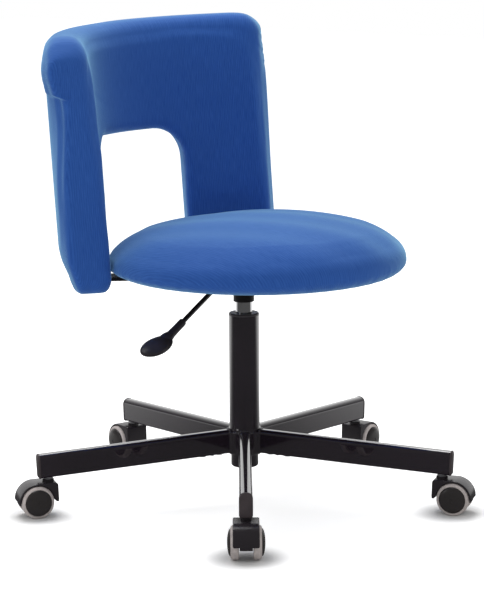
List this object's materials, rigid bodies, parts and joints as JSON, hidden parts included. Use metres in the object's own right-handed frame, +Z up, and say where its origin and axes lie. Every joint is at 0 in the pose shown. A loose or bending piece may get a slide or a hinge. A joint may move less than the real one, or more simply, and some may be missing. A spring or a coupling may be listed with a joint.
{
  "type": "swivel office chair",
  "caption": "Swivel office chair with a round upholstered seat, a curved barrel back open at the bottom, a gas column with a lift lever and a star base on twin-wheel casters.",
  "frame": {"origin": "on the column axis at floor level", "axes": "+Z up along the column, -Y to the front of the seat, -X to the sitter's right, the lever side"},
  "size_m": [0.7178, 0.7454, 0.7766],
  "materials": {
    "base_paint": "satin black powder coat on steel tube",
    "column_paint": "satin black paint on the column tube",
    "mechanism_paint": "semi-matt black paint",
    "black_plastic": "fine-grained black moulding",
    "hood_plastic": "satin black moulding",
    "disc_plastic": "satin black moulding",
    "handle_plastic": "soft black moulding",
    "tread": "soft grey polyurethane",
    "chrome": "hard chrome plate, ground",
    "zinc": "zinc-plated steel",
    "brass": "turned brass",
    "plywood": "beech plywood, unfinished",
    "seat_fabric": "blue woven fabric with fine ribs over foam",
    "back_fabric": "blue woven fabric with fine ribs over foam"
  },
  "bodies": {
    "base": {"base_hub": "base_paint", "base_arms": "base_paint", "arm_end_caps": "black_plastic", "caster_sockets": "zinc", "column_tube": "column_paint", "column_bush": "black_plastic", "thrust_bearing": "zinc"},
    "piston": {"piston_rod": "chrome", "retaining_clip": "zinc"},
    "seat": {"gas_cylinder": "chrome", "cylinder_rod_guide": "black_plastic", "mechanism_housing": "mechanism_paint", "mechanism_plate": "mechanism_paint", "lever_pivot_pin": "zinc", "seat_board": "plywood", "seat_bolts": "zinc", "seat_cushion": "seat_fabric", "back_bracket_right": "mechanism_paint", "back_bracket_left": "mechanism_paint", "bracket_bolts": "zinc", "back_shell": "plywood", "back_cushion": "back_fabric"},
    "lever": {"lever_rod": "mechanism_paint", "lever_handle": "handle_plastic"},
    "valve": {"valve_button": "brass"},
    "caster_1": {"caster_stem_1": "zinc", "caster_hood_1": "hood_plastic", "caster_axle_1": "zinc"},
    "wheel_1_left": {"wheel_disc_1_left": "disc_plastic", "wheel_tread_1_left": "tread"},
    "wheel_1_right": {"wheel_disc_1_right": "disc_plastic", "wheel_tread_1_right": "tread"},
    "caster_2": {"caster_stem_2": "zinc", "caster_hood_2": "hood_plastic", "caster_axle_2": "zinc"},
    "wheel_2_left": {"wheel_disc_2_left": "disc_plastic", "wheel_tread_2_left": "tread"},
    "wheel_2_right": {"wheel_disc_2_right": "disc_plastic", "wheel_tread_2_right": "tread"},
    "caster_3": {"caster_stem_3": "zinc", "caster_hood_3": "hood_plastic", "caster_axle_3": "zinc"},
    "wheel_3_left": {"wheel_disc_3_left": "disc_plastic", "wheel_tread_3_left": "tread"},
    "wheel_3_right": {"wheel_disc_3_right": "disc_plastic", "wheel_tread_3_right": "tread"},
    "caster_4": {"caster_stem_4": "zinc", "caster_hood_4": "hood_plastic", "caster_axle_4": "zinc"},
    "wheel_4_left": {"wheel_disc_4_left": "disc_plastic", "wheel_tread_4_left": "tread"},
    "wheel_4_right": {"wheel_disc_4_right": "disc_plastic", "wheel_tread_4_right": "tread"},
    "caster_5": {"caster_stem_5": "zinc", "caster_hood_5": "hood_plastic", "caster_axle_5": "zinc"},
    "wheel_5_left": {"wheel_disc_5_left": "disc_plastic", "wheel_tread_5_left": "tread"},
    "wheel_5_right": {"wheel_disc_5_right": "disc_plastic", "wheel_tread_5_right": "tread"}
  },
  "joints": [
    {"name": "seat_swivel", "type": "hinge", "parent": "base", "child": "piston", "pos_m": [0, 0, 0.0676], "axis": [0, 0, 1], "continuous": true},
    {"name": "seat_height", "type": "slide", "parent": "piston", "child": "seat", "axis": [0, 0, 1], "range_m": [-0.012, 0.108]},
    {"name": "lift_lever", "type": "hinge", "parent": "seat", "child": "lever", "pos_m": [-0.032, 0, 0.3598], "axis": [0, 1, 0], "range_deg": [0, 4]},
    {"name": "valve_press", "type": "slide", "parent": "seat", "child": "valve", "axis": [0, 0, -1], "range_m": [0, 0.0025]},
    {"name": "caster_swivel_1", "type": "hinge", "parent": "base", "child": "caster_1", "pos_m": [0.33375, 0.01282, 0.0626], "axis": [0, 0, 1], "continuous": true},
    {"name": "wheel_spin_1_left", "type": "hinge", "parent": "caster_1", "child": "wheel_1_left", "pos_m": [0.35524, 0.01365, 0.0265], "axis": [-0.0384, 0.9993, 0], "continuous": true},
    {"name": "wheel_spin_1_right", "type": "hinge", "parent": "caster_1", "child": "wheel_1_right", "pos_m": [0.35524, 0.01365, 0.0265], "axis": [-0.0384, 0.9993, 0], "continuous": true},
    {"name": "caster_swivel_2", "type": "hinge", "parent": "base", "child": "caster_2", "pos_m": [0.09094, 0.32138, 0.0626], "axis": [0, 0, 1], "continuous": true},
    {"name": "wheel_spin_2_left", "type": "hinge", "parent": "caster_2", "child": "wheel_2_left", "pos_m": [0.0968, 0.34207, 0.0265], "axis": [-0.9622, 0.2723, 0], "continuous": true},
    {"name": "wheel_spin_2_right", "type": "hinge", "parent": "caster_2", "child": "wheel_2_right", "pos_m": [0.0968, 0.34207, 0.0265], "axis": [-0.9622, 0.2723, 0], "continuous": true},
    {"name": "caster_swivel_3", "type": "hinge", "parent": "base", "child": "caster_3", "pos_m": [-0.27755, 0.1858, 0.0626], "axis": [0, 0, 1], "continuous": true},
    {"name": "wheel_spin_3_left", "type": "hinge", "parent": "caster_3", "child": "wheel_3_left", "pos_m": [-0.29541, 0.19776, 0.0265], "axis": [-0.5563, -0.831, 0], "continuous": true},
    {"name": "wheel_spin_3_right", "type": "hinge", "parent": "caster_3", "child": "wheel_3_right", "pos_m": [-0.29541, 0.19776, 0.0265], "axis": [-0.5563, -0.831, 0], "continuous": true},
    {"name": "caster_swivel_4", "type": "hinge", "parent": "base", "child": "caster_4", "pos_m": [-0.26248, -0.20655, 0.0626], "axis": [0, 0, 1], "continuous": true},
    {"name": "wheel_spin_4_left", "type": "hinge", "parent": "caster_4", "child": "wheel_4_left", "pos_m": [-0.27937, -0.21984, 0.0265], "axis": [0.6184, -0.7859, 0], "continuous": true},
    {"name": "wheel_spin_4_right", "type": "hinge", "parent": "caster_4", "child": "wheel_4_right", "pos_m": [-0.27937, -0.21984, 0.0265], "axis": [0.6184, -0.7859, 0], "continuous": true},
    {"name": "caster_swivel_5", "type": "hinge", "parent": "base", "child": "caster_5", "pos_m": [0.11533, -0.31346, 0.0626], "axis": [0, 0, 1], "continuous": true},
    {"name": "wheel_spin_5_left", "type": "hinge", "parent": "caster_5", "child": "wheel_5_left", "pos_m": [0.12275, -0.33363, 0.0265], "axis": [0.9385, 0.3453, 0], "continuous": true},
    {"name": "wheel_spin_5_right", "type": "hinge", "parent": "caster_5", "child": "wheel_5_right", "pos_m": [0.12275, -0.33363, 0.0265], "axis": [0.9385, 0.3453, 0], "continuous": true}
  ],
  "couplings": [
    {"joint": "valve_press", "follows": "lift_lever", "m_per_rad": 0.032}
  ]
}
